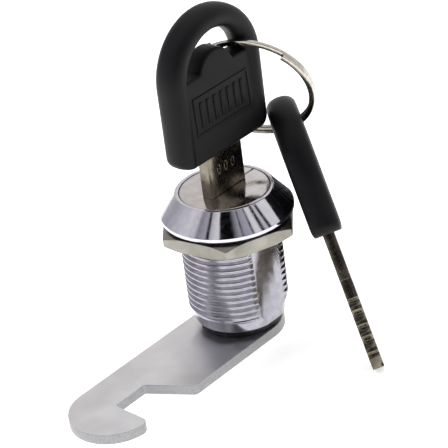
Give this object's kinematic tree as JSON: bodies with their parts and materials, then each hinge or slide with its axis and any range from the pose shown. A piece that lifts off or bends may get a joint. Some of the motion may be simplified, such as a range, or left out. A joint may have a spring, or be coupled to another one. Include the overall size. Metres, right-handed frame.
{
  "type": "cam lock",
  "caption": "Wafer cam lock with a conical bezel, threaded flat-sided barrel, hex mounting nut and hook cam, with flat keys on a split ring.",
  "frame": {"origin": "on the lock axis at the underside of the bezel, where the panel face comes", "axes": "+Z along the lock axis towards the key; the cam points along -X; the barrel flats face +Y and -Y"},
  "size_m": [0.0686, 0.0419, 0.0716],
  "materials": {
    "chrome_casting": "bright chrome plate on cast zinc",
    "nickel_nut": "satin nickel plate",
    "plug_face": "polished chrome plate",
    "zinc_plate": "tumbled zinc plate",
    "spring_steel": "plain",
    "blackened_steel": "oil-blackened",
    "wafer_brass": "stamped",
    "key_nickel": "nickel plate on brass",
    "key_plastic": "moulded, semi-matt",
    "ring_nickel": "bright nickel plate"
  },
  "bodies": {
    "lock_body": {"housing": "chrome_casting"},
    "nut": {"mounting_nut": "nickel_nut"},
    "plug": {"plug": "plug_face", "stop_washer": "blackened_steel", "hook_cam": "zinc_plate", "lock_washer": "spring_steel", "cam_screw": "zinc_plate", "wafer_spring_1": "spring_steel", "wafer_spring_2": "spring_steel", "wafer_spring_3": "spring_steel", "wafer_spring_4": "spring_steel", "wafer_spring_5": "spring_steel"},
    "key_1": {"key_1_blade": "key_nickel", "key_1_head": "key_plastic"},
    "ring": {"split_ring": "ring_nickel"},
    "key_2": {"key_2_blade": "key_nickel", "key_2_head": "key_plastic"},
    "wafer_1": {"wafer_1": "wafer_brass"},
    "wafer_2": {"wafer_2": "wafer_brass"},
    "wafer_3": {"wafer_3": "wafer_brass"},
    "wafer_4": {"wafer_4": "wafer_brass"},
    "wafer_5": {"wafer_5": "wafer_brass"}
  },
  "joints": [
    {"name": "plug_turn", "type": "hinge", "parent": "lock_body", "child": "plug", "pos_m": [0, 0, 0], "axis": [0, 0, -1], "range_deg": [0, 90]},
    {"name": "key_slide", "type": "slide", "parent": "plug", "child": "key_1", "axis": [0, 0, 1], "range_m": [0, 0.018]},
    {"name": "ring_swing", "type": "hinge", "parent": "key_1", "child": "ring", "pos_m": [0.0058, 0.00001, 0.0313], "axis": [0.3433, -0.9239, 0.1691], "range_deg": [0, 80]},
    {"name": "key_2_swing", "type": "hinge", "parent": "ring", "child": "key_2", "pos_m": [0.01535, -0.00286, 0.01087], "axis": [0.2518, -0.8964, 0.3648], "range_deg": [0, 10]},
    {"name": "nut_travel", "type": "slide", "parent": "lock_body", "child": "nut", "axis": [0, 0, -1], "range_m": [0, 0.014]},
    {"name": "wafer_1_slide", "type": "slide", "parent": "plug", "child": "wafer_1", "axis": [1, 0, 0], "range_m": [0, 0.0007], "deforming": ["wafer_spring_1"]},
    {"name": "wafer_2_slide", "type": "slide", "parent": "plug", "child": "wafer_2", "axis": [-1, 0, 0], "range_m": [0, 0.0007], "deforming": ["wafer_spring_2"]},
    {"name": "wafer_3_slide", "type": "slide", "parent": "plug", "child": "wafer_3", "axis": [1, 0, 0], "range_m": [0, 0.0007], "deforming": ["wafer_spring_3"]},
    {"name": "wafer_4_slide", "type": "slide", "parent": "plug", "child": "wafer_4", "axis": [-1, 0, 0], "range_m": [0, 0.0007], "deforming": ["wafer_spring_4"]},
    {"name": "wafer_5_slide", "type": "slide", "parent": "plug", "child": "wafer_5", "axis": [1, 0, 0], "range_m": [0, 0.0007], "deforming": ["wafer_spring_5"]}
  ],
  "couplings": [
    {"joint": "wafer_1_slide", "follows": "key_slide", "ratio": 0.0385},
    {"joint": "wafer_2_slide", "follows": "key_slide", "ratio": 0.0385},
    {"joint": "wafer_3_slide", "follows": "key_slide", "ratio": 0.0385},
    {"joint": "wafer_4_slide", "follows": "key_slide", "ratio": 0.0385},
    {"joint": "wafer_5_slide", "follows": "key_slide", "ratio": 0.0385}
  ]
}
